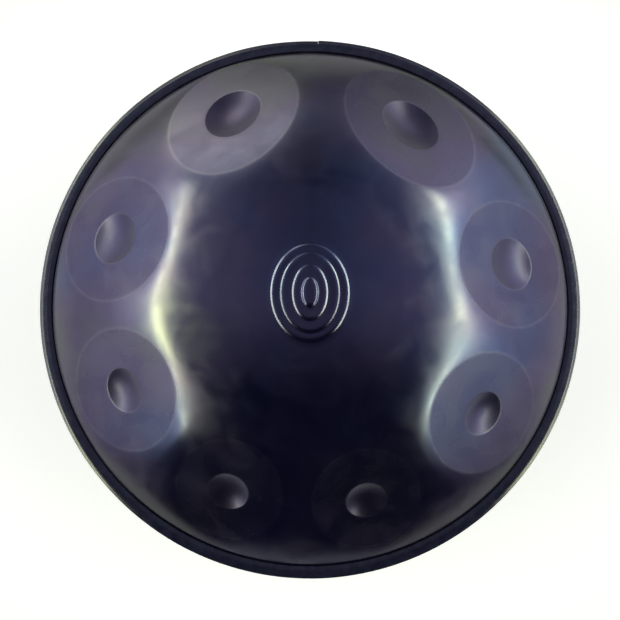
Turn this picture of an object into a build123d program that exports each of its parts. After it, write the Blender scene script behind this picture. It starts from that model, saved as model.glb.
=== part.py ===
"""Handpan: two drawn steel shells, bonded flange to flange, with a strip round the rim.

+Z is up, towards the playing side. The origin is the middle of the flat seat that the lower
shell stands on. +Y is the side where the rim strip's two ends meet.
All lengths are in millimetres and all angles in degrees.
"""

import os
from math import asin, atan2, cos, degrees, pi, radians, sin, sqrt

from build123d import *

# Sheet steel and the spherical die that both shells are drawn on
sheet = 1.2
flange_radius = 265.0
flange_width = 7.5  # from its edge to where the dome would meet it if the bend were sharp
crown_height = 120.5  # of the plain dome, above its flange
foot_bend = 4.0

# Bond line between the two flanges
bond_thickness = 0.6
bond_setback = 0.6  # from the flanges' outer edge
bead_reach = 1.6  # of the squeezed-out bead, inwards from the start of the bend
bead_clearance = 0.04

# Lower shell: flat seat and sound port
seat_width = 24.0  # of the flat ring, from the port's wall to where the dome would meet it
seat_bend = 40.0
port_radius = 48.0
port_bend = 9.0
neck_height = 30.0  # of the port's neck, from the seat to its free edge

# Rim strip: a channel pushed over both flanges, with its ends butted at the back
strip_wall = 3.2  # outside the channel
strip_lip = 3.0  # thickness of each lip, above and below the flanges
lip_cover = 8.8  # of each lip over its flange, from the flange's edge inwards
lip_flat = 4.6  # of each lip's face, before it slopes down to the strip's side
flare_width = 3.4  # of the relief under each lip, which clears the shells' bend
flare_height = 1.9
slot_clearance = 0.3  # between the flanges' edge and the bottom of the channel
side_height = 3.0  # of the strip's upright side, before its edges are rounded
side_rounding = 2.0
shoulder_rounding = 3.0
lip_rounding = 0.6
mouth_rounding = 0.3
joint_gap = 0.8
joint_azimuth = 88.2

# Ding: the flattened field on the crown, and the four raised steps in its middle
ding_half_length = 101.5  # along Y
ding_half_width = 85.0
ding_flatness = 0.29  # 0 keeps the dome's curve, 1 is straight across the narrower way
step_half_widths = (36.0, 27.3, 16.6, 8.1)
step_half_lengths = (45.0, 36.7, 25.8, 14.0)
first_step_rise = 0.6  # above the field's middle
step_rise = 1.5
step_rounding = 1.1

# Notes: four pairs, placed each side of one axis across the dome, from the lowest to the
# highest. Each is a flattened field with a dimple in its middle. The first half size runs
# downhill, turned from there towards the layout's axis by a note's own angle.
layout_azimuth = 86.3
note_rise = 81.0  # of every note's middle, up the dome's surface from its foot
note_flatness = 0.85
dimple_slope = 0.23  # depth of a dimple as a share of its mean half size
note_pairs = (
    {"half_angle": 26.1, "turns": (34.0, 50.0), "field": (77.5, 63.5), "dimple": (32.0, 27.2)},
    {"half_angle": 76.2, "turns": (0.0, 0.0), "field": (67.0, 61.5), "dimple": (26.5, 25.0)},
    {"half_angle": 119.8, "turns": (0.0, 0.0), "field": (62.0, 59.5), "dimple": (20.5, 21.5)},
    {"half_angle": 160.7, "turns": (0.0, 0.0), "field": (59.0, 51.0), "dimple": (20.5, 19.5)},
)

# How far the cutting bodies reach past what they cut
cutter_reach = 1.05
dimple_reach = 1.15
cutter_headroom = 14.0

# Worked out from the sizes above
foot_radius = flange_radius - flange_width
seat_radius = port_radius + seat_width
strip_radius = flange_radius + slot_clearance + strip_wall
lip_radius = flange_radius - lip_cover
slot_radius = flange_radius + slot_clearance
stack = 2 * sheet + bond_thickness
dome_radius = (foot_radius**2 + crown_height**2) / (2 * crown_height)
seat_depth = crown_height - (dome_radius - sqrt(dome_radius**2 - seat_radius**2))
lower_flange_z = seat_depth  # underside of the lower flange
bond_z = lower_flange_z + sheet
upper_flange_z = bond_z + bond_thickness  # underside of the upper flange
rim_z = bond_z + bond_thickness / 2
lower_centre_z = crown_height - dome_radius  # below the lower flange, measured downwards
upper_centre_z = upper_flange_z + sheet + crown_height - dome_radius
note_polar = degrees(asin(foot_radius / dome_radius) - note_rise / dome_radius)


def arc_height(radius, across):
    """Height of a circle's point above its centre, at a distance across from its axis."""
    return sqrt(radius**2 - across**2)


def dome_frame(azimuth, polar, turn):
    """Plane that touches the upper dome: z points outwards, and x downhill before the turn."""
    a, p, t = radians(azimuth), radians(polar), radians(turn)
    outwards = Vector(sin(p) * cos(a), sin(p) * sin(a), cos(p))
    downhill = Vector(cos(p) * cos(a), cos(p) * sin(a), -sin(p))
    lengthwise = downhill * cos(t) + outwards.cross(downhill) * sin(t)
    middle = Vector(0, 0, upper_centre_z) + outwards * dome_radius
    return Plane(origin=middle, x_dir=lengthwise, z_dir=outwards)


def field_depth(half_sizes, flatness):
    """Depth of a field's middle below the plain dome."""
    return flatness * min(half_sizes) ** 2 / (2 * dome_radius)


def field_cutter(half_sizes, flatness, inset):
    """Body that fills the space above a field, in its own frame: a slice of a large wheel."""
    depth = field_depth(half_sizes, flatness)
    length_radius, width_radius = (
        1 / (1 / dome_radius - 2 * depth / half_size**2) for half_size in half_sizes
    )
    half_turn = asin(cutter_reach * half_sizes[1] / width_radius)
    pivot = (0, 0, -depth - width_radius)
    start = Plane(origin=pivot, x_dir=(1, 0, 0), z_dir=(0, -cos(half_turn), -sin(half_turn)))
    reach = cutter_reach * half_sizes[0]
    ends = width_radius - length_radius + arc_height(length_radius - inset, reach)
    top = width_radius + depth + cutter_headroom
    with BuildPart() as cutter:
        with BuildSketch(start):
            with BuildLine():
                ThreePointArc((-reach, ends), (0, width_radius - inset), (reach, ends))
                Polyline((reach, ends), (reach, top), (-reach, top), (-reach, ends))
            make_face()
        revolve(axis=Axis(pivot, (-1, 0, 0)), revolution_arc=2 * degrees(half_turn))
    return cutter.part


def dimple_cutter(note, inset):
    """Wheel whose lowest part is a dimple, in the field's own frame."""
    half_sizes = note["dimple"]
    depth = dimple_slope * sum(half_sizes) / 2
    downhill_radius = (half_sizes[0] ** 2 + depth**2) / (2 * depth) + inset
    across_radius = (half_sizes[1] ** 2 + depth**2) / (2 * depth)
    pivot = (0, 0, -field_depth(note["field"], note_flatness) - depth + across_radius)
    reach = dimple_reach * half_sizes[0]
    lowest = -across_radius - inset
    side = lowest + downhill_radius - arc_height(downhill_radius, reach)
    with BuildPart() as cutter:
        with BuildSketch(Plane(origin=pivot, x_dir=(1, 0, 0), z_dir=(0, -1, 0))):
            with BuildLine():
                ThreePointArc((-reach, side), (0, lowest), (reach, side))
                Polyline((reach, side), (reach, 0), (-reach, 0), (-reach, side))
            make_face()
        revolve(axis=Axis(pivot, (1, 0, 0)))
    return cutter.part


def ding_steps(inset):
    """The raised steps, as a stack of elliptical slabs, each one smaller and higher."""
    ding_half_sizes = (ding_half_length, ding_half_width)
    field_z = upper_centre_z + dome_radius - field_depth(ding_half_sizes, ding_flatness)
    root_z = field_z - cutter_headroom
    rounding = max(step_rounding - inset, 0)
    with BuildPart() as steps:
        for number, (half_width, half_length) in enumerate(
            zip(step_half_widths, step_half_lengths)
        ):
            top_z = field_z + first_step_rise + number * step_rise - inset
            with BuildSketch(Plane.XY.offset(root_z)):
                Ellipse(half_width - inset, half_length - inset)
            extrude(amount=top_z - root_z)
            if rounding:
                fillet(steps.edges().group_by(Axis.Z)[-1], radius=rounding)
    return steps.part


def bend_points(radius, bend, shoulder_z):
    """Ends and middle of the bend from a dome of this radius to a flat shoulder: (x, z)."""
    centre_z = shoulder_z + bend
    centre_x = arc_height(radius + bend, centre_z - upper_centre_z)
    slope = atan2(centre_z - upper_centre_z, centre_x)
    on_dome = (centre_x - bend * cos(slope), centre_z - bend * sin(slope))
    halfway = (slope + pi / 2) / 2
    middle = (centre_x - bend * cos(halfway), centre_z - bend * sin(halfway))
    return on_dome, middle, (centre_x, shoulder_z)


def dome_core(inset):
    """Solid inside the upper shell's outer skin (inset 0) or its inner skin (inset sheet)."""
    radius = dome_radius - inset
    crown_z = upper_centre_z + radius
    cutting = inset > 0
    base_z = upper_flange_z - cutter_headroom if cutting else upper_flange_z
    rim = strip_radius if cutting else flange_radius
    shoulder_z = upper_flange_z + sheet - inset
    on_dome, mid_bend, on_shoulder = bend_points(radius, foot_bend + inset, shoulder_z)
    halfway_up = upper_centre_z + arc_height(radius, on_dome[0] / 2)
    with BuildPart() as core:
        with BuildSketch(Plane.XZ):
            with BuildLine():
                ThreePointArc(on_dome, (on_dome[0] / 2, halfway_up), (0, crown_z))
                Polyline((0, crown_z), (0, on_dome[1]), on_dome)
            make_face()
        revolve(axis=Axis.Z)
        with Locations(dome_frame(azimuth=90, polar=0, turn=0)):
            half_sizes = (ding_half_length, ding_half_width)
            add(field_cutter(half_sizes, ding_flatness, inset), mode=Mode.SUBTRACT)
        add(ding_steps(inset))
        for pair in note_pairs:
            for side, turn in zip((1, -1), pair["turns"]):
                azimuth = layout_azimuth + side * pair["half_angle"]
                with Locations(dome_frame(azimuth, note_polar, -side * turn)):
                    add(field_cutter(pair["field"], note_flatness, inset), mode=Mode.SUBTRACT)
                    add(dimple_cutter(pair, inset), mode=Mode.SUBTRACT)
        with BuildSketch(Plane.XZ):
            with BuildLine():
                ThreePointArc(on_dome, mid_bend, on_shoulder)
                Polyline(on_shoulder, (rim, shoulder_z), (rim, base_z), (0, base_z))
                Polyline((0, base_z), (0, on_dome[1]), on_dome)
            make_face()
        revolve(axis=Axis.Z)
    return core.part


# Upper shell: the playing side, one sheet with the ding and the notes hammered into it
with BuildPart() as upper_shell:
    add(dome_core(inset=0))
    add(dome_core(inset=sheet), mode=Mode.SUBTRACT)

# Lower shell: the same dome turned over, flattened to a seat, with its port's neck turned in
with BuildPart() as lower_shell:
    with BuildSketch(Plane.XZ):
        with BuildLine() as skin:
            Line((flange_radius, lower_flange_z), (foot_radius, lower_flange_z))
            between = (foot_radius + seat_radius) / 2
            ThreePointArc(
                (foot_radius, lower_flange_z),
                (between, lower_flange_z - lower_centre_z - arc_height(dome_radius, between)),
                (seat_radius, 0),
            )
            Polyline((seat_radius, 0), (port_radius, 0), (port_radius, neck_height))
            for corner, radius in (
                ((foot_radius, lower_flange_z), foot_bend),
                ((seat_radius, 0), seat_bend),
                ((port_radius, 0), port_bend),
            ):
                sharp = skin.vertices().sort_by_distance((*corner, 0))[0]
                fillet(sharp, radius=radius)
            offset(amount=sheet, side=Side.RIGHT)
        make_face()
    revolve(axis=Axis.Z)

# Bond line: the adhesive between the flanges, with the bead that squeezed out inside
inner_bend = foot_bend + sheet
bend_start_radius = bend_points(dome_radius - sheet, inner_bend, upper_flange_z)[2][0]
bead_middle = bend_start_radius - bead_reach
bead_half = (
    bond_thickness / 2 + inner_bend - arc_height(inner_bend, bead_reach) - bead_clearance
)
with BuildPart() as bond_line:
    with BuildSketch(Plane.XZ):
        film_width = flange_radius - bond_setback - bead_middle
        with Locations((bead_middle, rim_z)):
            Rectangle(film_width, bond_thickness, align=(Align.MIN, Align.CENTER))
            Circle(bead_half)
    revolve(axis=Axis.Z)

# Rim strip: one length of channel, bent round the flanges until its ends meet
joint_angle = degrees(joint_gap / strip_radius)
start_azimuth = radians(joint_azimuth + joint_angle / 2)
strip_plane = Plane(
    origin=(0, 0, rim_z),
    x_dir=(cos(start_azimuth), sin(start_azimuth), 0),
    z_dir=(sin(start_azimuth), -cos(start_azimuth), 0),
)
strip_corners = (
    (slot_radius, stack / 2, 0.0),
    (lip_radius + flare_width, stack / 2, mouth_rounding),
    (lip_radius, stack / 2 + flare_height, mouth_rounding),
    (lip_radius, stack / 2 + strip_lip, lip_rounding),
    (lip_radius + lip_flat, stack / 2 + strip_lip, shoulder_rounding),
    (strip_radius, side_height / 2, side_rounding),
)
with BuildPart() as rim_strip:
    with BuildSketch(strip_plane) as channel:
        with BuildLine():
            upper_half = [(across, height) for across, height, _ in strip_corners]
            lower_half = [(across, -height) for across, height in reversed(upper_half)]
            Polyline(*upper_half, *lower_half, close=True)
        make_face()
        for across, height, rounding in strip_corners[1:]:
            for side in (1, -1):
                corner = channel.vertices().sort_by_distance((across, side * height, 0))[0]
                fillet(corner, rounding)
    revolve(axis=Axis.Z, revolution_arc=-(360 - joint_angle))

os.makedirs("parts", exist_ok=True)
for name, sub_part in (
    ("upper_shell", upper_shell),
    ("lower_shell", lower_shell),
    ("bond_line", bond_line),
    ("rim_strip", rim_strip),
):
    sub_part.part.label = name
    export_step(sub_part.part, f"parts/{name}.step")
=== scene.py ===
"""Handpan: the looks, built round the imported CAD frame.

Every piece is in metres, in the frame's own place: +Z up, the lower shell's seat at the origin.
Sizes are written in millimetres and turned to metres when a mesh is finished.
"""

import logging
import math
from collections.abc import Iterable, Sequence
from dataclasses import dataclass, field
from enum import Enum

import bmesh
import bpy
from mathutils import Matrix, Vector, noise


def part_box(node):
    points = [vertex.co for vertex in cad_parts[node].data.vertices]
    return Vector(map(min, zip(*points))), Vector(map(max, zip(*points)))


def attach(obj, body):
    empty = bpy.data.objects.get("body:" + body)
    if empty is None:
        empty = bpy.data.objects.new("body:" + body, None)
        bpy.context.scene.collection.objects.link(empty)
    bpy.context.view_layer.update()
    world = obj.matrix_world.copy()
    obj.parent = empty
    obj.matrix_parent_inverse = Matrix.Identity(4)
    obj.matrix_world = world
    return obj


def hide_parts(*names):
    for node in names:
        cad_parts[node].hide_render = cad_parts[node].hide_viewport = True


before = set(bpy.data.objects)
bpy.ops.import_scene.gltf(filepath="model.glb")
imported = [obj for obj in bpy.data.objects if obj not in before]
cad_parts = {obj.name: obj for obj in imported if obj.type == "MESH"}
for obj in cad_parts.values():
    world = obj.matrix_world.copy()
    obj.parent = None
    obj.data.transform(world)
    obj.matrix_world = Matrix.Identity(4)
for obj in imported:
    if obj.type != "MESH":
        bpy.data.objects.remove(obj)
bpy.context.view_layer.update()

MM = 0.001
LOG = logging.getLogger("handpan")
HAMMERING = "hammering"  # point attributes, written by weave and read by the steel
# painted highlight: how strongly a paler colour is painted along creases and dimple rims
PAINTED_HIGHLIGHT = "painted_highlight"
WELD = 0.01  # of points that two parts of one skin share, in millimetres

Ring = list[Vector]
NodeInput = float | tuple[float, ...] | bpy.types.NodeSocket


def srgb(code: str) -> tuple[float, float, float, float]:
    """Linear colour of an sRGB hex code.

    Args:
        code: Six hex digits, with or without a leading hash.

    Returns:
        Red, green, blue and an alpha of 1.
    """
    digits = code.lstrip("#")
    values = (int(digits[i : i + 2], 16) / 255 for i in (0, 2, 4))
    linear = (v / 12.92 if v <= 0.04045 else ((v + 0.055) / 1.055) ** 2.4 for v in values)
    return (*linear, 1.0)


def add_node(
    tree: bpy.types.NodeTree, kind: str, inputs: dict[str | int, NodeInput] | None = None, **settings
) -> bpy.types.Node:
    """Adds a node, with its settings, its plain input values and its links.

    Args:
        tree: Tree that gets the node.
        kind: Blender's name for the node's type.
        inputs: Value or output socket for each input, by its name or number.
        **settings: The node's own properties.

    Returns:
        The new node.
    """
    node = tree.nodes.new(kind)
    for name, value in settings.items():
        setattr(node, name, value)
    for name, value in (inputs or {}).items():
        socket = node.inputs[name]
        if isinstance(value, bpy.types.NodeSocket):
            tree.links.new(value, socket)
        else:
            socket.default_value = value
    return node


def set_ramp(node: bpy.types.Node, stops: Sequence[tuple[float, tuple[float, ...]]]) -> None:
    """Gives a colour ramp its stops.

    Args:
        node: The colour ramp.
        stops: Place and colour of each stop, in order.
    """
    elements = node.color_ramp.elements
    while len(elements) < len(stops):
        elements.new(1.0)
    for element, (place, colour) in zip(elements, stops):
        element.position = place
        element.color = colour


def mottle(
    tree: bpy.types.NodeTree, place: bpy.types.NodeSocket, size: float, **inputs: float
) -> bpy.types.NodeSocket:
    """Adds a noise texture.

    Args:
        tree: Tree that gets the node.
        place: Object coordinates, in metres.
        size: Size of its largest features, in millimetres.
        **inputs: Its other inputs, such as Detail.

    Returns:
        The noise, mostly between 0.3 and 0.7.
    """
    values = {"Vector": place, "Scale": 1 / (size * MM), "Detail": 2.0, **inputs}
    return add_node(tree, "ShaderNodeTexNoise", values).outputs["Fac"]


def remap(
    tree: bpy.types.NodeTree,
    value: NodeInput,
    before: tuple[float, float],
    after: tuple[float, float],
    interpolation: str = "LINEAR",
) -> bpy.types.NodeSocket:
    """Adds a node that brings one range of values to another and stops at its ends.

    Args:
        tree: Tree that gets the node.
        value: The value to bring over.
        before: Start and end of its range.
        after: What the start and the end become.
        interpolation: LINEAR, or SMOOTHSTEP for soft ends.

    Returns:
        The new value.
    """
    keys = ("Value", "From Min", "From Max", "To Min", "To Max")
    values = dict(zip(keys, (value, *before, *after)))
    return add_node(tree, "ShaderNodeMapRange", values, interpolation_type=interpolation).outputs["Result"]


def mix_colours(
    tree: bpy.types.NodeTree, share: NodeInput, first: NodeInput, second: NodeInput, how: str = "MIX"
) -> bpy.types.NodeSocket:
    """Adds a colour mix.

    Args:
        tree: Tree that gets the node.
        share: 0 for the first colour and 1 for the second.
        first: First colour.
        second: Second colour.
        how: Blender's name for the way they are mixed.

    Returns:
        The mixed colour.
    """
    values = {0: share, 6: first, 7: second}
    return add_node(tree, "ShaderNodeMix", values, data_type="RGBA", blend_type=how).outputs[2]


def emboss(
    tree: bpy.types.NodeTree,
    shader: bpy.types.Node,
    height: bpy.types.NodeSocket,
    strength: float,
    distance: float,
) -> None:
    """Gives a shader a fine relief.

    Args:
        tree: Tree that gets the node.
        shader: Shader whose normal is bent.
        height: The relief's height.
        strength: Share of the relief that is used.
        distance: Height of a full step, in millimetres.
    """
    values = {"Height": height, "Strength": strength, "Distance": distance * MM}
    relief = add_node(tree, "ShaderNodeBump", values)
    tree.links.new(relief.outputs["Normal"], shader.inputs["Normal"])


class Slot(Enum):
    """The record's material slots."""

    STEEL = "nitrided_steel"
    EPOXY = "cured_epoxy"
    RUBBER = "bumper_rubber"


@dataclass(frozen=True)
class Finish:
    """A surface finish, which builds one Blender material."""

    name: str

    def build(self) -> bpy.types.Material:
        """Makes the material.

        Returns:
            The material, with its node tree filled in.
        """
        material = bpy.data.materials.new(self.name)
        material.use_nodes = True
        tree = material.node_tree
        tree.nodes.clear()
        output = add_node(tree, "ShaderNodeOutputMaterial")
        shader = add_node(tree, "ShaderNodeBsdfPrincipled")
        tree.links.new(shader.outputs["BSDF"], output.inputs["Surface"])
        place = add_node(tree, "ShaderNodeTexCoord").outputs["Object"]
        self.dress(tree, shader, place)
        return material

    def dress(
        self, tree: bpy.types.NodeTree, shader: bpy.types.Node, place: bpy.types.NodeSocket
    ) -> None:
        """Fills in the shader.

        Args:
            tree: The material's node tree.
            shader: Its Principled BSDF.
            place: Object coordinates, in metres.
        """
        raise NotImplementedError


@dataclass(frozen=True)
class NitridedSteel(Finish):
    """Deep-drawn mild steel, gas nitrided and oiled.

    The nitride layer is thin and dark, so the eye gets a soft mirror with blue and violet heat
    tints in clouds a hand wide, satin smears left by the oiling cloth, and a few pale specks.
    """

    blue: str = "#545B76"
    violet: str = "#5F5A70"
    olive: str = "#5F6068"
    rose: str = "#4C4661"  # where it was hammered
    highlight_colour: str = "#A9A9AE"  # painted highlight along creases and dimple rims
    speck: str = "#8D8FA6"
    cloud_mm: float = 140.0
    smear_mm: float = 38.0
    speck_mm: float = 46.0
    grain_mm: float = 1.1  # true sanding marks are finer; drawn as coarse as they need to show
    hammered_share: float = 0.7
    highlight_share: float = 0.1
    roughness: float = 0.17
    hammered_roughness: float = 0.17  # added to it
    def dress(
        self, tree: bpy.types.NodeTree, shader: bpy.types.Node, place: bpy.types.NodeSocket
    ) -> None:
        """Fills in the shader.

        Args:
            tree: The material's node tree.
            shader: Its Principled BSDF.
            place: Object coordinates, in metres.
        """
        tints = add_node(tree, "ShaderNodeValToRGB", {"Fac": mottle(tree, place, self.cloud_mm)})
        set_ramp(tints, ((0.36, srgb(self.blue)), (0.52, srgb(self.violet)), (0.66, srgb(self.olive))))
        smears = mottle(tree, place, self.smear_mm, Detail=3.0, Distortion=0.6)
        shade = remap(tree, smears, (0.3, 0.7), (0.95, 1.05))
        tinted = mix_colours(tree, 1.0, tints.outputs["Color"], shade, "MULTIPLY")
        cells = add_node(tree, "ShaderNodeTexVoronoi", {"Vector": place, "Scale": 1 / (self.speck_mm * MM)})
        specks = remap(tree, cells.outputs["Distance"], (0.008, 0.016), (1.0, 0.0))
        speckled = mix_colours(tree, specks, tinted, srgb(self.speck))
        hammering = add_node(tree, "ShaderNodeAttribute", attribute_name=HAMMERING).outputs["Fac"]
        burnt = remap(tree, hammering, (0.0, 1.0), (0.0, self.hammered_share))
        hammered = mix_colours(tree, burnt, speckled, srgb(self.rose))
        # painted highlight: a paler colour along the creases and dimple rims, standing in for the light their
        # bends catch
        painted_highlight = add_node(tree, "ShaderNodeAttribute", attribute_name=PAINTED_HIGHLIGHT).outputs["Fac"]
        highlight_amount = remap(tree, painted_highlight, (0.0, 1.0), (0.0, self.highlight_share))
        lightened = mix_colours(tree, highlight_amount, hammered, srgb(self.highlight_colour))
        tree.links.new(lightened, shader.inputs["Base Color"])
        sheen = remap(tree, smears, (0.35, 0.7), (self.roughness - 0.03, self.roughness + 0.1))
        dulled = add_node(
            tree,
            "ShaderNodeMath",
            {0: hammering, 1: self.hammered_roughness, 2: sheen},
            operation="MULTIPLY_ADD",
        )
        tree.links.new(dulled.outputs[0], shader.inputs["Roughness"])
        emboss(tree, shader, mottle(tree, place, self.grain_mm), 0.03, 0.01)
        shader.inputs["Metallic"].default_value = 1.0


@dataclass(frozen=True)
class ExtrudedRubber(Finish):
    """Smooth extruded rubber, blue-black: glossy, with faint drawing lines and a little dust."""

    base: str = "#191A2B"
    lightened: str = "#26283B"
    roughness: float = 0.14
    dust_mm: float = 9.0
    line_mm: float = 2.2

    def dress(
        self, tree: bpy.types.NodeTree, shader: bpy.types.Node, place: bpy.types.NodeSocket
    ) -> None:
        """Fills in the shader.

        Args:
            tree: The material's node tree.
            shader: Its Principled BSDF.
            place: Object coordinates, in metres.
        """
        dust = mottle(tree, place, self.dust_mm, Detail=5.0)
        colour = add_node(tree, "ShaderNodeValToRGB", {"Fac": dust})
        set_ramp(colour, ((0.35, srgb(self.base)), (0.75, srgb(self.lightened))))
        tree.links.new(colour.outputs["Color"], shader.inputs["Base Color"])
        gloss = remap(tree, dust, (0.0, 1.0), (self.roughness - 0.04, self.roughness + 0.08))
        tree.links.new(gloss, shader.inputs["Roughness"])
        flat = add_node(
            tree, "ShaderNodeVectorMath", {0: place, 1: (1.0, 1.0, 0.0)}, operation="MULTIPLY"
        )
        across = add_node(tree, "ShaderNodeVectorMath", {0: flat.outputs[0]}, operation="LENGTH")
        lines = add_node(
            tree,
            "ShaderNodeTexNoise",
            {"W": across.outputs["Value"], "Scale": 1 / (self.line_mm * MM), "Detail": 1.0},
            noise_dimensions="1D",
        )
        emboss(tree, shader, lines.outputs["Fac"], 0.35, 0.35)
        shader.inputs["IOR"].default_value = 1.68
        shader.inputs["Specular Tint"].default_value = (0.85, 0.84, 1.0, 1.0)


@dataclass(frozen=True)
class CuredEpoxy(Finish):
    """Cured two-part epoxy squeezed out of a joint: dark, smooth and a little uneven."""

    base: str = "#2B2926"
    pale: str = "#3A3733"
    lump_mm: float = 4.0

    def dress(
        self, tree: bpy.types.NodeTree, shader: bpy.types.Node, place: bpy.types.NodeSocket
    ) -> None:
        """Fills in the shader.

        Args:
            tree: The material's node tree.
            shader: Its Principled BSDF.
            place: Object coordinates, in metres.
        """
        lumps = mottle(tree, place, self.lump_mm, Detail=3.0)
        colour = add_node(tree, "ShaderNodeValToRGB", {"Fac": lumps})
        set_ramp(colour, ((0.3, srgb(self.base)), (0.7, srgb(self.pale))))
        tree.links.new(colour.outputs["Color"], shader.inputs["Base Color"])
        emboss(tree, shader, lumps, 0.4, 0.3)
        shader.inputs["Roughness"].default_value = 0.25
        shader.inputs["IOR"].default_value = 1.55


@dataclass(frozen=True)
class StudioPaper(Finish):
    """Matt white background paper in an oval pool of light, a little greyer beyond it."""

    base: str = "#F4F4F4"
    fibres: tuple[str, str] = ("#F1F1F1", "#F7F7F7")
    shaded: str = "#D8D7D4"
    glow: float = 0.6
    fibre_mm: float = 2.0
    pool_mm: tuple[float, float] = (750.0, 520.0)  # half sizes of the pool of light

    def dress(
        self, tree: bpy.types.NodeTree, shader: bpy.types.Node, place: bpy.types.NodeSocket
    ) -> None:
        """Fills in the shader.

        Args:
            tree: The material's node tree.
            shader: Its Principled BSDF.
            place: Object coordinates, in metres.
        """
        colour = add_node(tree, "ShaderNodeValToRGB", {"Fac": mottle(tree, place, self.fibre_mm)})
        set_ramp(colour, tuple(zip((0.0, 1.0), map(srgb, self.fibres))))
        scale = (*(1 / (half * MM) for half in self.pool_mm), 0.0)
        oval = add_node(tree, "ShaderNodeVectorMath", {0: place, 1: scale}, operation="MULTIPLY")
        off = add_node(tree, "ShaderNodeVectorMath", {0: oval.outputs[0]}, operation="LENGTH")
        pool = remap(tree, off.outputs["Value"], (0.6, 1.3), (1.0, 0.0), "SMOOTHSTEP")
        lit = mix_colours(tree, pool, srgb(self.shaded), colour.outputs["Color"])
        glow = remap(tree, pool, (0.0, 1.0), (0.0, self.glow))
        tree.links.new(lit, shader.inputs["Base Color"])
        tree.links.new(glow, shader.inputs["Emission Strength"])
        shader.inputs["Roughness"].default_value = 0.9
        shader.inputs["Emission Color"].default_value = srgb(self.base)


@dataclass(frozen=True)
class Dome:
    """The sphere that both shells are drawn on, in millimetres."""

    shoulder_z: float  # top of the upper shell's flange
    sheet: float = 1.2
    flange_radius: float = 265.0
    flange_width: float = 7.5
    crown_height: float = 120.5
    foot_bend: float = 4.0

    @property
    def foot_radius(self) -> float:
        """Radius where the dome would meet its flange if the bend were sharp."""
        return self.flange_radius - self.flange_width

    @property
    def radius(self) -> float:
        """Radius of the sphere."""
        return (self.foot_radius**2 + self.crown_height**2) / (2 * self.crown_height)

    @property
    def centre(self) -> Vector:
        """Centre of the upper dome's sphere."""
        return Vector((0, 0, self.shoulder_z + self.crown_height - self.radius))

    @property
    def bend_centre(self) -> tuple[float, float]:
        """Radius and height of the middle of the bend between dome and flange."""
        z = self.shoulder_z + self.foot_bend
        reach = self.radius + self.foot_bend
        return math.sqrt(reach**2 - (z - self.centre.z) ** 2), z

    @property
    def foot_polar(self) -> float:
        """Angle from the crown at which the dome runs into its bend, in radians."""
        across, z = self.bend_centre
        return math.atan2(across, z - self.centre.z)

    def at(self, polar: float, azimuth: float) -> Vector:
        """Point of the upper dome, by its angle from the crown and its azimuth in radians."""
        side = self.radius * math.sin(polar)
        up = self.radius * math.cos(polar)
        return self.centre + Vector((side * math.cos(azimuth), side * math.sin(azimuth), up))


def rounded_positive(value: float, softness: float) -> float:
    """Positive part of a value, with its corner rounded off.

    Args:
        value: Any number.
        softness: Result at a value of 0; the rounding fades a few times further out.

    Returns:
        A number that is never negative.
    """
    return 0.5 * (value + math.sqrt(value * value + 4 * softness * softness))


@dataclass(frozen=True)
class Oval:
    """An ellipse by its two half sizes, in millimetres."""

    length: float
    width: float

    def share(self, u: float, v: float) -> float:
        """Square of how far a point lies out: 1 is on the oval."""
        return (u / self.length) ** 2 + (v / self.width) ** 2

    def crossing(self, u: float, v: float) -> float:
        """Factor that brings a direction out to the oval."""
        return 1 / math.sqrt(self.share(u, v))


@dataclass(frozen=True)
class Note:
    """A note: a flattened field of the dome, with a dimple pressed in its middle."""

    name: str
    azimuth: float
    turn: float
    field: Oval
    dimple: Oval
    flatness: float = 0.85
    dimple_slope: float = 0.23
    crease_softness: float = 0.05
    rim_softness: float = 0.07
    shoulder_depth: float = 0.5  # of the ground that hammering pulled down round the field
    shoulder_reach: float = 9.0

    def frame(self, dome: Dome, rise: float) -> Matrix:
        """Local axes of the note on the plain dome.

        Args:
            dome: The dome that carries it.
            rise: Distance from the dome's foot up to the note's middle, in millimetres.

        Returns:
            Matrix whose x runs along the note, y across it and z outwards.
        """
        foot = math.asin(dome.foot_radius / dome.radius)
        polar = foot - rise / dome.radius
        azimuth, turn = math.radians(self.azimuth), math.radians(self.turn)
        middle = dome.at(polar, azimuth)
        outwards = (middle - dome.centre).normalized()
        around = Vector((-math.sin(azimuth), math.cos(azimuth), 0))
        downhill = around.cross(outwards)
        along = downhill * math.cos(turn) + around * math.sin(turn)
        across = outwards.cross(along)
        return Matrix.Translation(middle) @ Matrix((along, across, outwards)).transposed().to_4x4()

    def depth(self, u: float, v: float, dome: Dome, blend: float) -> float:
        """Depth of the sheet below the plain dome at a place on the note.

        Args:
            u: Place along the note, in millimetres.
            v: Place across it.
            dome: The dome that carries it.
            blend: 1 on the note, falling to 0 where its surroundings end.

        Returns:
            Depth in millimetres.
        """
        field_depth = self.flatness * min(self.field.length, self.field.width) ** 2 / (2 * dome.radius)
        dimple_depth = self.dimple_slope * (self.dimple.length + self.dimple.width) / 2
        flattened = rounded_positive(field_depth * (1 - self.field.share(u, v)), self.crease_softness)
        pressed = rounded_positive(dimple_depth * (1 - self.dimple.share(u, v)), self.rim_softness)
        beyond = max(0.0, math.hypot(u, v) * (1 - self.field.crossing(u, v))) if u or v else 0.0
        shoulder = self.shoulder_depth * math.exp(-beyond / self.shoulder_reach)
        return blend * (flattened + pressed + shoulder)


def walk(loop: Iterable[bmesh.types.BMVert]) -> list[bmesh.types.BMVert]:
    """Puts the points of a closed loop in the order in which its edges join them.

    Args:
        loop: The points, in any order.

    Returns:
        The same points, each joined to the next.
    """
    first = next(iter(loop))
    row = [first]
    edge = first.link_edges[0]
    while (vert := edge.other_vert(row[-1])) is not first:
        row.append(vert)
        edge = next(other for other in vert.link_edges if other is not edge)
    return row


@dataclass(frozen=True)
class RingTone:
    """How a ring's place was worked: hammered all over, with a highlight painted along an edge."""

    hammering: float = 0.0
    painted_highlight: float = 0.0


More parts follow.
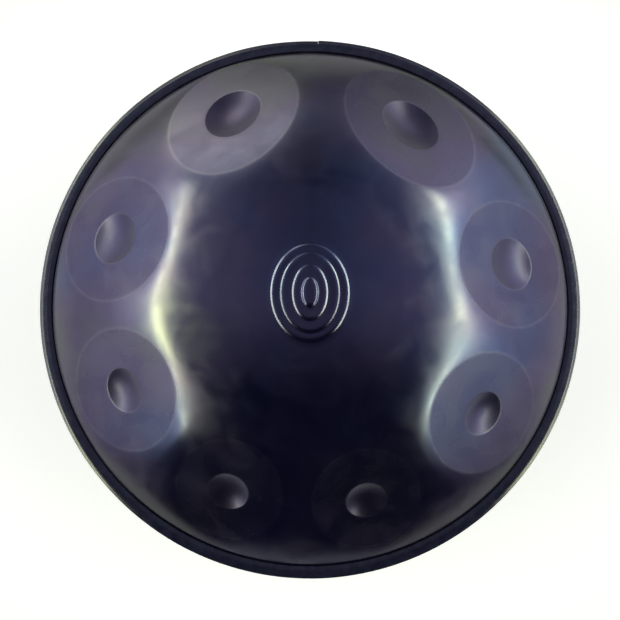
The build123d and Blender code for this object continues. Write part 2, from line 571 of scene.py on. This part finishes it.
def weave(
    mesh: bmesh.types.BMesh, rings: Sequence[Ring], tones: Sequence[RingTone] = (), close: bool = True
) -> None:
    """Weaves a skin through closed rings of the same number of points.

    Args:
        mesh: Mesh that gets the skin.
        rings: The rings, from the outer edge inwards.
        tones: How each ring's place was worked and how strongly a highlight is painted on it; none leaves
            them all as drawn.
        close: Whether the last ring is drawn together at its middle.
    """
    layers = mesh.verts.layers.float
    for name in (HAMMERING, PAINTED_HIGHLIGHT):
        if name not in layers:
            layers.new(name)
    hammering, painted_highlight = layers[HAMMERING], layers[PAINTED_HIGHLIGHT]
    tones = tones or [RingTone()] * len(rings)
    row = walk(bmesh.ops.create_circle(mesh, segments=len(rings[0]), radius=1.0)["verts"])
    for vert, place in zip(row, rings[0]):
        vert.co = place
        vert[hammering], vert[painted_highlight] = tones[0].hammering, tones[0].painted_highlight
    for ring, tone in zip(rings[1:], tones[1:]):
        edges = [mesh.edges.get((a, b)) for a, b in zip(row, row[1:] + row[:1])]
        made = bmesh.ops.extrude_edge_only(mesh, edges=edges)["geom"]
        fresh = {item for item in made if isinstance(item, bmesh.types.BMVert)}
        row = [next(e.other_vert(v) for e in v.link_edges if e.other_vert(v) in fresh) for v in row]
        for vert, place in zip(row, ring):
            vert.co = place
            vert[hammering], vert[painted_highlight] = tone.hammering, tone.painted_highlight
    if close:
        middle = sum((vert.co for vert in row), Vector()) / len(row)
        bmesh.ops.pointmerge(mesh, verts=row, merge_co=middle)


def finish_mesh(mesh: bmesh.types.BMesh, name: str, material: bpy.types.Material) -> bpy.types.Object:
    """Turns a mesh in millimetres to a smooth-shaded object in metres at the origin.

    Args:
        mesh: The finished bmesh, which is freed.
        name: The piece's name.
        material: Its finish.

    Returns:
        The linked object.
    """
    bmesh.ops.scale(mesh, vec=Vector((MM, MM, MM)), verts=mesh.verts)
    for face in mesh.faces:
        face.smooth = True
    data = bpy.data.meshes.new(name)
    mesh.to_mesh(data)
    mesh.free()
    data.materials.append(material)
    piece = bpy.data.objects.new(name, data)
    bpy.context.scene.collection.objects.link(piece)
    return piece


def thicken(piece: bpy.types.Object, sheet: float) -> None:
    """Gives a piece that is only its outer skin the thickness of its sheet.

    Args:
        piece: The skin.
        sheet: Thickness, in millimetres, which goes inwards.
    """
    wall = piece.modifiers.new("sheet", "SOLIDIFY")
    wall.thickness = sheet * MM
    wall.offset = -1.0
    wall.use_even_offset = True


def spread(start: float, end: float, count: int) -> list[float]:
    """Evenly spaced values from start towards end, without the end itself."""
    return [start + (end - start) * i / count for i in range(count)]


@dataclass
class UpperShell:
    """The playing side: one sheet with the ding, its steps and a ring of notes worked into it."""

    dome: Dome
    steel: bpy.types.Material
    note_rise: float = 81.0
    layout_azimuth: float = 86.3
    ding: Oval = Oval(101.5, 85.0)
    ding_flatness: float = 0.29
    ding_softness: float = 0.05
    steps: tuple[Oval, ...] = (Oval(45.0, 36.0), Oval(36.7, 27.3), Oval(25.8, 16.6), Oval(14.0, 8.1))
    step_rise: float = 1.6
    boss_rise: float = 0.5
    ramp_slope: float = 0.54
    ramp_width: float = 1.9
    plateau_drop: float = 2.1  # of the ground under the steps, below the middle of the ding
    step_stations: tuple[float, ...] = (0.25, 0.6, 1.0, 1.4, 1.9, 2.5, 3.2, 4.1, 5.3, 6.6)
    crease_gap: float = 2.0  # between a field's edge and the rings each side of it
    rim_gap: float = 1.6  # between a dimple's edge and the rings each side of it
    ding_gap: float = 0.03  # the same for the ding's field, as a share of the crown
    wave_height: float = 0.2
    wave_length: float = 60.0
    ripple_height: float = 0.04
    ripple_length: float = 21.0
    border_polar: float = math.radians(21.0)  # of the circle between the ding's and the notes' cells
    arc_inner: int = 24  # segments of each side of a note's cell
    arc_outer: int = 40
    side_count: int = 32
    notes: list[Note] = field(default_factory=list)

    def __post_init__(self) -> None:
        """Lays out the notes in pairs each side of the layout's axis, lowest first."""
        pairs = (
            ("a", "b", 26.1, (34.0, 50.0), Oval(77.5, 63.5), Oval(32.0, 27.2)),
            ("c", "d", 76.2, (0.0, 0.0), Oval(67.0, 61.5), Oval(26.5, 25.0)),
            ("e", "f", 119.8, (0.0, 0.0), Oval(62.0, 59.5), Oval(20.5, 21.5)),
            ("g", "h", 160.7, (0.0, 0.0), Oval(59.0, 51.0), Oval(20.5, 19.5)),
        )
        for left, right, half_angle, turns, note_field, dimple in pairs:
            for name, side, turn in zip((left, right), (1, -1), turns):
                azimuth = (self.layout_azimuth + side * half_angle) % 360
                self.notes.append(Note(name, azimuth, -side * turn, note_field, dimple))
        self.notes.sort(key=lambda note: note.azimuth)

    def borders(self) -> list[tuple[float, float]]:
        """Azimuths, in radians, between which each note's cell lies."""
        middles = [note.azimuth for note in self.notes]
        after = middles[1:] + [middles[0] + 360]
        ends = [(a + b) / 2 for a, b in zip(middles, after)]
        starts = [ends[-1] - 360] + ends[:-1]
        return [(math.radians(a), math.radians(b)) for a, b in zip(starts, ends)]

    def cell_border(self, start: float, end: float) -> Ring:
        """Points round a note's cell, counter-clockwise seen from outside."""
        foot, inner = self.dome.foot_polar, self.border_polar
        corners = (
            *((foot, azimuth) for azimuth in spread(start, end, self.arc_outer)),
            *((polar, end) for polar in spread(foot, inner, self.side_count)),
            *((inner, azimuth) for azimuth in spread(end, start, self.arc_inner)),
            *((polar, start) for polar in spread(inner, foot, self.side_count)),
        )
        return [self.dome.at(polar, azimuth) for polar, azimuth in corners]

    def unevenness(self, place: Vector) -> float:
        """Small waves that drawing and hammering leave in the sheet, in millimetres."""
        arm = place - self.dome.centre
        above_foot = self.dome.foot_polar - arm.angle(Vector((0, 0, 1)))
        wave = self.wave_height * noise.noise(place / self.wave_length)
        wave += self.ripple_height * noise.noise(place / self.ripple_length + Vector((7, 3, 1)))
        return wave * min(1.0, max(0.0, above_foot / math.radians(4)))

    def note_rings(self, note: Note, border: Ring) -> list[Ring]:
        """Rings of one note's cell, from its border to the middle of its dimple.

        Args:
            note: The note.
            border: Points round its cell, on the plain dome.

        Returns:
            Rings with a point for each point of the border.
        """
        local = note.frame(self.dome, self.note_rise)
        to_local = local.inverted()
        rays = [(p.x, p.y) for p in (to_local @ point for point in border)]
        columns = []
        for u, v in rays:
            reach = math.hypot(u, v)
            crease = note.field.crossing(u, v)
            rim = note.dimple.crossing(u, v)
            gap = min(self.crease_gap / reach, 0.4 * (1 - crease))
            rise = self.rim_gap / reach
            stations = [
                *(1 + (crease + gap - 1) * (1 - (1 - i / 9) ** 1.8) for i in range(9)),
                crease + gap,
                crease + 0.35 * gap,
                crease - 0.35 * gap,
                *(crease - gap + (rim + rise - crease + gap) * i / 10 for i in range(10)),
                *(rim + share * rise for share in (1.0, 0.375, 0.0, -0.375)),
                *((rim - rise) * (1 - i / 8) for i in range(8)),
            ]
            places = []
            for s in stations:
                blend = 1 - max(0.0, (s - crease) / (1 - crease)) ** 2
                places.append((u * s, v * s, blend))
            columns.append(places)
        return [[self.note_point(note, local, *place) for place in ring] for ring in zip(*columns)]

    def note_point(self, note: Note, local: Matrix, u: float, v: float, blend: float) -> Vector:
        """Point of the sheet at a place in a note's own frame, in millimetres."""
        drop = self.dome.radius - math.sqrt(self.dome.radius**2 - u * u - v * v)
        on_dome = local @ Vector((u, v, -drop))
        sunk = local @ Vector((u, v, -drop - note.depth(u, v, self.dome, blend)))
        wave = self.unevenness(on_dome) * (0.35 + 0.65 * min(1.0, note.field.share(u, v)))
        return sunk + (on_dome - self.dome.centre).normalized() * wave

    @property
    def note_tones(self) -> list[RingTone]:
        """How each of a note's rings was worked, the field half as hard as the dimple, and where a highlight
        is painted along the crease and the dimple's rim.
        """
        crease = [RingTone(), RingTone(0.2, 0.8), RingTone(0.4, 0.8)]
        rim = [RingTone(0.6), RingTone(0.75, 0.5), RingTone(0.9, 0.8), RingTone(1.0, 0.2)]
        return [RingTone()] * 9 + crease + [RingTone(0.5)] * 10 + rim + [RingTone(1.0)] * 8

    def ding_rings(self) -> list[Ring]:
        """Rings of the crown, from the notes' cells in to the top of the ding."""
        azimuths = [a for start, end in self.borders() for a in spread(start, end, self.arc_inner)]
        reach = self.dome.radius * math.sin(self.border_polar)
        columns = []
        for azimuth in azimuths:
            x, y = reach * math.cos(azimuth), reach * math.sin(azimuth)
            edge = self.ding.crossing(y, x)
            marks = [step.crossing(y, x) for step in self.steps] + [0.0]
            gap = self.ding_gap
            stations = [(1 + (edge + gap - 1) * i / 6, 0.0) for i in range(6)]
            stations += [(edge + offset, 0.0) for offset in (gap, gap / 3, -gap / 3)]
            first = marks[0] + 0.004
            stations += [(edge - gap + (first - edge + gap) * i / 10, 0.0) for i in range(10)]
            stations.append((first, 0.0))
            for number, (outer, inner) in enumerate(zip(marks, marks[1:])):
                width = reach * (outer - inner)
                for inward in (*self.step_stations, 0.96 * width):
                    share = min(inward / width, 0.9 + 0.009 * inward)
                    height = self.step_rise * (number + self.step_profile(share * width, width))
                    stations.append((outer + (inner - outer) * share, height))
            columns.append([self.crown_point(x * s, y * s, height) for s, height in stations])
        return [list(ring) for ring in zip(*columns)]

    def step_profile(self, inward: float, width: float) -> float:
        """Share of a step's rise that is reached at a distance inside its edge.

        Args:
            inward: Distance from the step's edge, in millimetres.
            width: Distance at which the next step begins.

        Returns:
            0 at the edge and almost 1 at the next step; a short straight ramp, then a round-over.
        """
        inward = min(inward, width)
        if inward <= self.ramp_width:
            return self.ramp_slope * inward / self.step_rise
        fall = (self.step_rise - self.ramp_slope * self.ramp_width) / self.ramp_slope
        beyond = (inward - self.ramp_width) / fall
        return (self.ramp_width + fall * (1 - math.exp(-beyond))) * self.ramp_slope / self.step_rise

    def crown_point(self, x: float, y: float, height: float) -> Vector:
        """Point of the sheet near the crown, raised by a height, in millimetres."""
        dome = self.dome
        depth = self.ding_flatness * self.ding.width**2 / (2 * dome.radius)
        sunk = rounded_positive(depth * (1 - self.ding.share(y, x)), self.ding_softness)
        top = dome.centre.z + dome.radius
        ground = dome.centre.z + math.sqrt(dome.radius**2 - x * x - y * y)
        wave = self.unevenness(Vector((x, y, ground))) * min(1.0, self.ding.share(y, x))
        edge = (x * x + y * y) / (dome.radius * math.sin(self.border_polar)) ** 2
        ground -= sunk * (1 - max(0.0, edge) ** 8)
        flat = 1 - min(1.0, self.steps[0].share(y, x)) ** 2
        ground += flat * (top - depth - self.plateau_drop - ground)
        ground += self.boss_rise * max(0.0, 1 - self.steps[-1].share(y, x) ** 2)
        outwards = (Vector((x, y, ground)) - dome.centre).normalized()
        return Vector((x, y, ground + height)) + outwards * wave

    def flange_rings(self) -> list[Ring]:
        """Rings from the flange's outer edge in to the dome's foot."""
        dome = self.dome
        azimuths = [a for start, end in self.borders() for a in spread(start, end, self.arc_outer)]
        across, height = dome.bend_centre
        slope = math.pi / 2 - dome.foot_polar
        profile = [(r, dome.shoulder_z) for r in (dome.flange_radius, (dome.flange_radius + across) / 2)]
        for angle in (math.pi / 2 + (slope - math.pi / 2) * i / 7 for i in range(8)):
            arm = dome.foot_bend * math.cos(angle), dome.foot_bend * math.sin(angle)
            profile.append((across - arm[0], height - arm[1]))
        return [[Vector((r * math.cos(a), r * math.sin(a), z)) for a in azimuths] for r, z in profile]

    def build(self) -> bpy.types.Object:
        """Builds the shell.

        Returns:
            The piece, which stands for the CAD shell.
        """
        mesh = bmesh.new()
        weave(mesh, self.flange_rings(), close=False)
        for note, (start, end) in zip(self.notes, self.borders()):
            weave(mesh, self.note_rings(note, self.cell_border(start, end)), self.note_tones)
        weave(mesh, self.ding_rings())
        bmesh.ops.remove_doubles(mesh, verts=mesh.verts, dist=WELD)
        bmesh.ops.recalc_face_normals(mesh, faces=mesh.faces)
        top = max(mesh.faces, key=lambda face: face.calc_center_median().z)
        if top.normal.z < 0:
            bmesh.ops.reverse_faces(mesh, faces=mesh.faces)
        piece = finish_mesh(mesh, "upper_shell_sheet", self.steel)
        thicken(piece, self.dome.sheet)
        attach(piece, "root")
        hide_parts("upper_shell")
        return piece


@dataclass
class LowerShell:
    """The underside: the same dome turned over, with a flat seat and a turned-in port."""

    dome: Dome
    steel: bpy.types.Material
    seat_width: float = 24.0
    seat_bend: float = 40.0
    port_radius: float = 48.0
    port_bend: float = 9.0
    neck_height: float = 30.0
    turns: int = 288

    def outline(self) -> list[tuple[float, float]]:
        """Radius and height of the sheet's outer skin, from the flange in to the neck's edge."""
        dome = self.dome
        seat = self.port_radius + self.seat_width
        low = dome.radius - math.sqrt(dome.radius**2 - seat**2)
        flange_z = dome.crown_height - low
        centre = flange_z - dome.crown_height + dome.radius
        bend_z = flange_z - dome.foot_bend
        across = math.sqrt((dome.radius + dome.foot_bend) ** 2 - (centre - bend_z) ** 2)
        foot = math.atan2(across, centre - bend_z)
        places = [(dome.flange_radius, flange_z), ((dome.flange_radius + across) / 2, flange_z)]
        for angle in (math.pi / 2 - foot * i / 7 for i in range(8)):
            arm = dome.foot_bend * math.cos(angle), dome.foot_bend * math.sin(angle)
            places.append((across - arm[0], bend_z + arm[1]))
        run_in = math.sqrt((dome.radius - self.seat_bend) ** 2 - (centre - self.seat_bend) ** 2)
        seat_polar = math.atan2(run_in, centre - self.seat_bend)
        for polar in (foot + (seat_polar - foot) * i / 47 for i in range(1, 48)):
            places.append((dome.radius * math.sin(polar), centre - dome.radius * math.cos(polar)))
        for polar in (seat_polar * (1 - i / 6) for i in range(1, 7)):
            places.append((run_in + self.seat_bend * math.sin(polar), self.seat_bend * (1 - math.cos(polar))))
        for angle in (math.pi / 2 * i / 10 for i in range(11)):
            across = self.port_radius + self.port_bend * (1 - math.sin(angle))
            places.append((across, self.port_bend * (1 - math.cos(angle))))
        straight = self.neck_height - self.port_bend
        places += [(self.port_radius, self.port_bend + straight * share) for share in (0.4, 0.7, 1.0)]
        return places

    def build(self) -> bpy.types.Object:
        """Builds the shell.

        Returns:
            The piece, which stands for the CAD shell.
        """
        mesh = bmesh.new()
        verts = [mesh.verts.new((radius, 0, height)) for radius, height in self.outline()]
        edges = [mesh.edges.new(pair) for pair in zip(verts, verts[1:])]
        bmesh.ops.spin(
            mesh,
            geom=verts + edges,
            cent=Vector((0, 0, 0)),
            axis=Vector((0, 0, 1)),
            angle=math.tau,
            steps=self.turns,
            use_merge=True,
        )
        bmesh.ops.remove_doubles(mesh, verts=mesh.verts, dist=WELD)
        bmesh.ops.recalc_face_normals(mesh, faces=mesh.faces)
        low = min(mesh.faces, key=lambda face: face.calc_center_median().z)
        if low.normal.z > 0:
            bmesh.ops.reverse_faces(mesh, faces=mesh.faces)
        piece = finish_mesh(mesh, "lower_shell_sheet", self.steel)
        thicken(piece, self.dome.sheet)
        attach(piece, "root")
        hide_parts("lower_shell")
        return piece


def rounded_line(
    bends: Sequence[tuple[tuple[float, float], float]], count: int
) -> list[tuple[float, float]]:
    """Points along a line of straight runs whose corners are rounded.

    Args:
        bends: Corner and rounding radius of each bend; the first corner is only a start.
        count: Segments in each rounding.

    Returns:
        Points from the first corner to the last corner's rounding.
    """
    places = [corner for corner, _ in bends]
    points = [places[0]]
    for before, (corner, radius), after in zip(places, bends[1:], places[2:] + [None]):
        if after is None:
            points.append(corner)
            break
        here = Vector(corner)
        back, ahead = (Vector(before) - here).normalized(), (Vector(after) - here).normalized()
        half = back.angle(ahead) / 2
        reach = radius / math.tan(half)
        middle = here + (back + ahead).normalized() * (radius / math.sin(half))
        start, end = here + back * reach - middle, here + ahead * reach - middle
        for i in range(count + 1):
            share = i / count
            arm = (start * (1 - share) + end * share).normalized() * radius
            points.append(tuple(middle + arm))
    return points


@dataclass
class RimStrip:
    """The edge strip: a rounded rubber channel bent round both flanges, with butted ends."""

    dome: Dome
    rim_z: float
    rubber: bpy.types.Material
    outer_radius: float = 268.4
    lip_radius: float = 255.7
    half_height: float = 4.5
    half_slot: float = 1.5
    slot_end: float = 265.3
    half_side: float = 1.5
    ledge: tuple[float, float] = (3.1, 1.27)  # in and up from the side's top edge
    rib: tuple[float, float] = (3.8, 1.85)
    lip_flat: float = 4.6
    lip_chamfer: tuple[float, float] = (0.8, 0.55)
    flare_width: float = 3.4
    flare_height: float = 1.9
    joint_azimuth: float = 88.2
    joint_gap: float = 0.25
    joint_step: float = 0.7  # by which the left end lies further in
    joint_reach: float = 14.0
    tightness: float = 0.12  # how far the pull of the strip varies round the rim
    ripple: float = 0.05
    turns: int = 480

    def section(self) -> list[tuple[float, float]]:
        """Radius and height, from the rim's mid-plane, round the channel's section."""
        lip, top = self.lip_radius, self.half_height
        bends = (
            ((self.outer_radius, 0.0), 0.0),
            ((self.outer_radius, self.half_side), 0.9),
            ((self.outer_radius - self.ledge[0], self.half_side + self.ledge[1]), 0.5),
            ((self.outer_radius - self.rib[0], self.half_side + self.rib[1]), 0.5),
            ((lip + self.lip_flat, top), 2.0),
            ((lip + self.lip_chamfer[0], top), 0.3),
            ((lip, top - self.lip_chamfer[1]), 0.3),
            ((lip, self.half_slot + self.flare_height), 0.3),
            ((lip + self.flare_width, self.half_slot), 0.3),
            ((self.slot_end, self.half_slot), 0.0),
        )
        upper = rounded_line(bends, 5)[1:]
        return upper + [(across, -height) for across, height in reversed(upper)]

    def build(self) -> bpy.types.Object:
        """Builds the strip.

        Returns:
            The piece, which stands for the CAD strip.
        """
        mesh = bmesh.new()
        gap = self.joint_gap / self.outer_radius
        start = Matrix.Rotation(math.radians(self.joint_azimuth) + gap / 2, 4, "Z")
        verts = [
            mesh.verts.new(start @ Vector((across, 0, self.rim_z + height)))
            for across, height in self.section()
        ]
        end_face = mesh.faces.new(verts)
        bmesh.ops.spin(
            mesh,
            geom=[end_face, *end_face.edges, *end_face.verts],
            cent=Vector((0, 0, 0)),
            axis=Vector((0, 0, 1)),
            angle=math.tau - gap,
            steps=self.turns,
            use_duplicate=False,
        )
        for vert in mesh.verts:
            vert.co = self.settled(vert.co)
        for end in (face for face in mesh.faces if len(face.verts) > 4):
            for edge in end.edges:
                edge.smooth = False
        bmesh.ops.recalc_face_normals(mesh, faces=mesh.faces)
        piece = finish_mesh(mesh, "rim_strip_channel", self.rubber)
        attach(piece, "root")
        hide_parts("rim_strip")
        return piece

    def settled(self, place: Vector) -> Vector:
        """Where a point of the strip lies once it is pushed on by hand, end first.

        Args:
            place: Point of the true channel, in millimetres.

        Returns:
            The point, pulled in a little where the strip is tight and at its left end.
        """
        azimuth = math.degrees(math.atan2(place.y, place.x)) - self.joint_azimuth
        azimuth %= 360
        across = math.hypot(place.x, place.y)
        outwards = Vector((place.x, place.y, 0)) / across
        wave = noise.noise(outwards * 6.0 + Vector((0, 0, 3.0))) - 1.0
        ripple = noise.noise(outwards * 42.0 + Vector((0, 0, 9.0))) - 1.0
        shrink = self.tightness * wave + self.ripple * ripple
        shrink -= self.joint_step * math.exp(-azimuth / self.joint_reach)
        share = min(1.0, max(0.0, (across - self.lip_radius) / 3.0))
        lift = -0.06 * (1 + ripple) * (1 if place.z > self.rim_z else -1)
        return place + outwards * shrink * share + Vector((0, 0, lift * (1 - share)))


@dataclass(frozen=True)
class Signal:
    """A number that a node tree works out, with ordinary sums on it."""

    tree: bpy.types.NodeTree
    value: NodeInput

    def _sum(self, operation: str, *others: "Signal | float") -> "Signal":
        """Adds a maths node on this value and others."""
        values = [self.value, *(other.value if isinstance(other, Signal) else other for other in others)]
        node = add_node(self.tree, "ShaderNodeMath", dict(enumerate(values)), operation=operation)
        return Signal(self.tree, node.outputs[0])

    def __add__(self, other: "Signal | float") -> "Signal":
        """Sum of two values."""
        return self._sum("ADD", other)

    def __sub__(self, other: "Signal | float") -> "Signal":
        """Difference of two values."""
        return self._sum("SUBTRACT", other)

    def __mul__(self, other: "Signal | float") -> "Signal":
        """Product of two values."""
        return self._sum("MULTIPLY", other)

    def __truediv__(self, other: "Signal | float") -> "Signal":
        """Quotient of two values."""
        return self._sum("DIVIDE", other)

    def at_least(self, other: float) -> "Signal":
        """The larger of two values."""
        return self._sum("MAXIMUM", other)

    def size(self) -> "Signal":
        """The value without its sign."""
        return self._sum("ABSOLUTE")

    def root(self) -> "Signal":
        """Square root of the value."""
        return self._sum("SQRT")

    def fade(self, reach: float) -> "Signal":
        """1 up to zero, then falling off by a factor of e over each reach."""
        return (self.at_least(0.0) * (-1 / reach))._sum("EXPONENT")

    def hill(self, middle: float, width: float) -> "Signal":
        """1 at the middle and falling off smoothly over a width on each side."""
        off = (self - middle) / width
        return (off * off * -1.0)._sum("EXPONENT")

    def rise(self, start: float, end: float) -> "Signal":
        """Smooth step from 0 at the start to 1 at the end."""
        return Signal(self.tree, remap(self.tree, self.value, (start, end), (0.0, 1.0), "SMOOTHSTEP"))


@dataclass
class Studio:
    """A sheet of white paper in a room with a long window each side, and the camera above it."""

    rim_z: float
    paper_size: float = 780.0
    paper_gap: float = 0.2
    tilt: float = 5.2
    distance: float = 1200.0
    aim_y: float = -5.45
    focal: float = 70.1
    sensor: float = 36.0
    sill: float = 0.58  # of each window, as height over distance across
    head: float = 0.73
    blur: float = 0.05
    backdrop: float = 0.97

    def build(self) -> None:
        """Sets up the paper, the light and the camera."""
        mesh = bmesh.new()
        bmesh.ops.create_grid(mesh, x_segments=8, y_segments=8, size=self.paper_size)
        bmesh.ops.translate(mesh, verts=mesh.verts, vec=(0, 0, -self.paper_gap))
        paper = finish_mesh(mesh, "paper", StudioPaper("matt white background paper").build())
        self.light()
        self.camera()

    def light(self) -> None:
        """Makes the room's light: long windows at both sides, dimmer to the front and overhead."""
        world = bpy.data.worlds.new("studio")
        bpy.context.scene.world = world
        world.use_nodes = True
        tree = world.node_tree
        tree.nodes.clear()
        output = add_node(tree, "ShaderNodeOutputWorld")
        towards = add_node(tree, "ShaderNodeTexCoord").outputs["Generated"]
        x, y, z = (
            Signal(tree, socket) for socket in add_node(tree, "ShaderNodeSeparateXYZ", {0: towards}).outputs
        )
        away = x.size().at_least(0.02)
        window_y, window_z = y / away, z / away
        level = (x * x + y * y).root().at_least(0.02)
        side, depth = x.size() / level, y / level
        length = (window_y.rise(0.75, 1.35) * -1.0 + 1.0) * window_y.rise(-1.05, -0.6)
        inner_sill, inner_head = self.sill + self.blur, self.head - self.blur
        core = window_z.rise(self.sill, inner_sill)
        core = core * (window_z.rise(inner_head, self.head) * -1.0 + 1.0) * length
        below = (window_z * -1.0 + 0.61).fade(0.14) * window_z.rise(0.71, 0.61) * length
        above = (window_z - 0.71).fade(0.1) * window_z.rise(inner_sill, self.head) * length
        walls = z.rise(0.6, 0.3) * side.rise(0.45, 0.8) * depth.rise(-0.85, -0.25)
        back = z.rise(0.75, 0.2) * depth.rise(-0.1, 0.8)
        ceiling = away * depth.rise(-0.9, 0.3) * z.rise(0.1, 0.6)
        overhead = z.rise(0.6, 0.9) * y.rise(-0.5, 0.05)
        azimuth_left = (x + level * 0.42) / level
        azimuth_right = (x - level * 0.53) / level
        back_left = azimuth_left.hill(0.0, 0.2) * z.hill(0.15, 0.2) * y.rise(0.0, 0.3)
        back_right = azimuth_right.hill(0.0, 0.22) * z.hill(0.15, 0.17) * y.rise(0.0, 0.3)
        low = z.rise(-0.1, -0.28)
        parts = (
            (overhead, (0.12, 0.11, 0.14)),
            (ceiling, (0.36, 0.38, 0.56)),
            (walls, (0.68, 0.64, 0.7)),
            (back, (0.24, 0.24, 0.24)),
            (core, (10.4, 11.0, 4.2)),
            (below, (2.5, 2.9, 2.8)),
            (above, (1.6, 1.7, 1.45)),
            (back_left, (3.1, 3.15, 2.3)),
            (back_right, (0.95, 0.93, 0.9)),
            (low, (0.30, 0.29, 0.2)),
        )
        total: NodeInput = (0.025, 0.025, 0.0575)  # the dim room itself
        for amount, colour in parts:
            glow = add_node(
                tree, "ShaderNodeVectorMath", {0: colour, "Scale": amount.value}, operation="SCALE"
            ).outputs[0]
            total = add_node(tree, "ShaderNodeVectorMath", {0: total, 1: glow}, operation="ADD").outputs[0]
        background = add_node(tree, "ShaderNodeBackground", {"Color": total, "Strength": 1.0})
        plain = add_node(tree, "ShaderNodeBackground", {"Color": (*[self.backdrop] * 3, 1.0)})
        seen = add_node(tree, "ShaderNodeLightPath").outputs["Is Camera Ray"]
        inputs = {0: seen, 1: background.outputs[0], 2: plain.outputs[0]}
        mixed = add_node(tree, "ShaderNodeMixShader", inputs)
        tree.links.new(mixed.outputs[0], output.inputs["Surface"])

    def camera(self) -> None:
        """Puts the camera almost straight above the rim, a little to the front."""
        data = bpy.data.cameras.new("camera")
        data.sensor_width = self.sensor
        data.lens = self.focal
        camera = bpy.data.objects.new("camera", data)
        tilt = math.radians(self.tilt)
        place = Vector((0, -math.sin(tilt), math.cos(tilt))) * self.distance
        place.z += self.rim_z
        aim = Vector((0, self.aim_y, self.rim_z))
        camera.location = place * MM
        camera.rotation_euler = (place - aim).to_track_quat("Z", "Y").to_euler()
        bpy.context.scene.collection.objects.link(camera)
        bpy.context.scene.camera = camera


def main() -> None:
    """Builds every piece and the studio round the frame."""
    logging.basicConfig(level=logging.INFO, format="%(name)s: %(message)s")
    low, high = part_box("upper_shell")
    strip_low, strip_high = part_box("rim_strip")
    rim_z = (strip_low[2] + strip_high[2]) / 2 / MM
    dome = Dome(shoulder_z=low[2] / MM + Dome.sheet)
    steel = NitridedSteel("nitrided steel").build()
    rubber = ExtrudedRubber("glossy black rubber").build()
    epoxy = CuredEpoxy("cured epoxy").build()
    pieces = [
        UpperShell(dome, steel).build(),
        LowerShell(dome, steel).build(),
        RimStrip(dome, rim_z, rubber).build(),
    ]
    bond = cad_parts["bond_line"]
    bond.data.materials.clear()
    bond.data.materials.append(epoxy)
    Studio(rim_z).build()
    bpy.context.scene.view_settings.view_transform = "Standard"
    for piece in pieces:
        LOG.info("%s: %d faces", piece.name, len(piece.data.polygons))


if __name__ == "__main__":
    main()
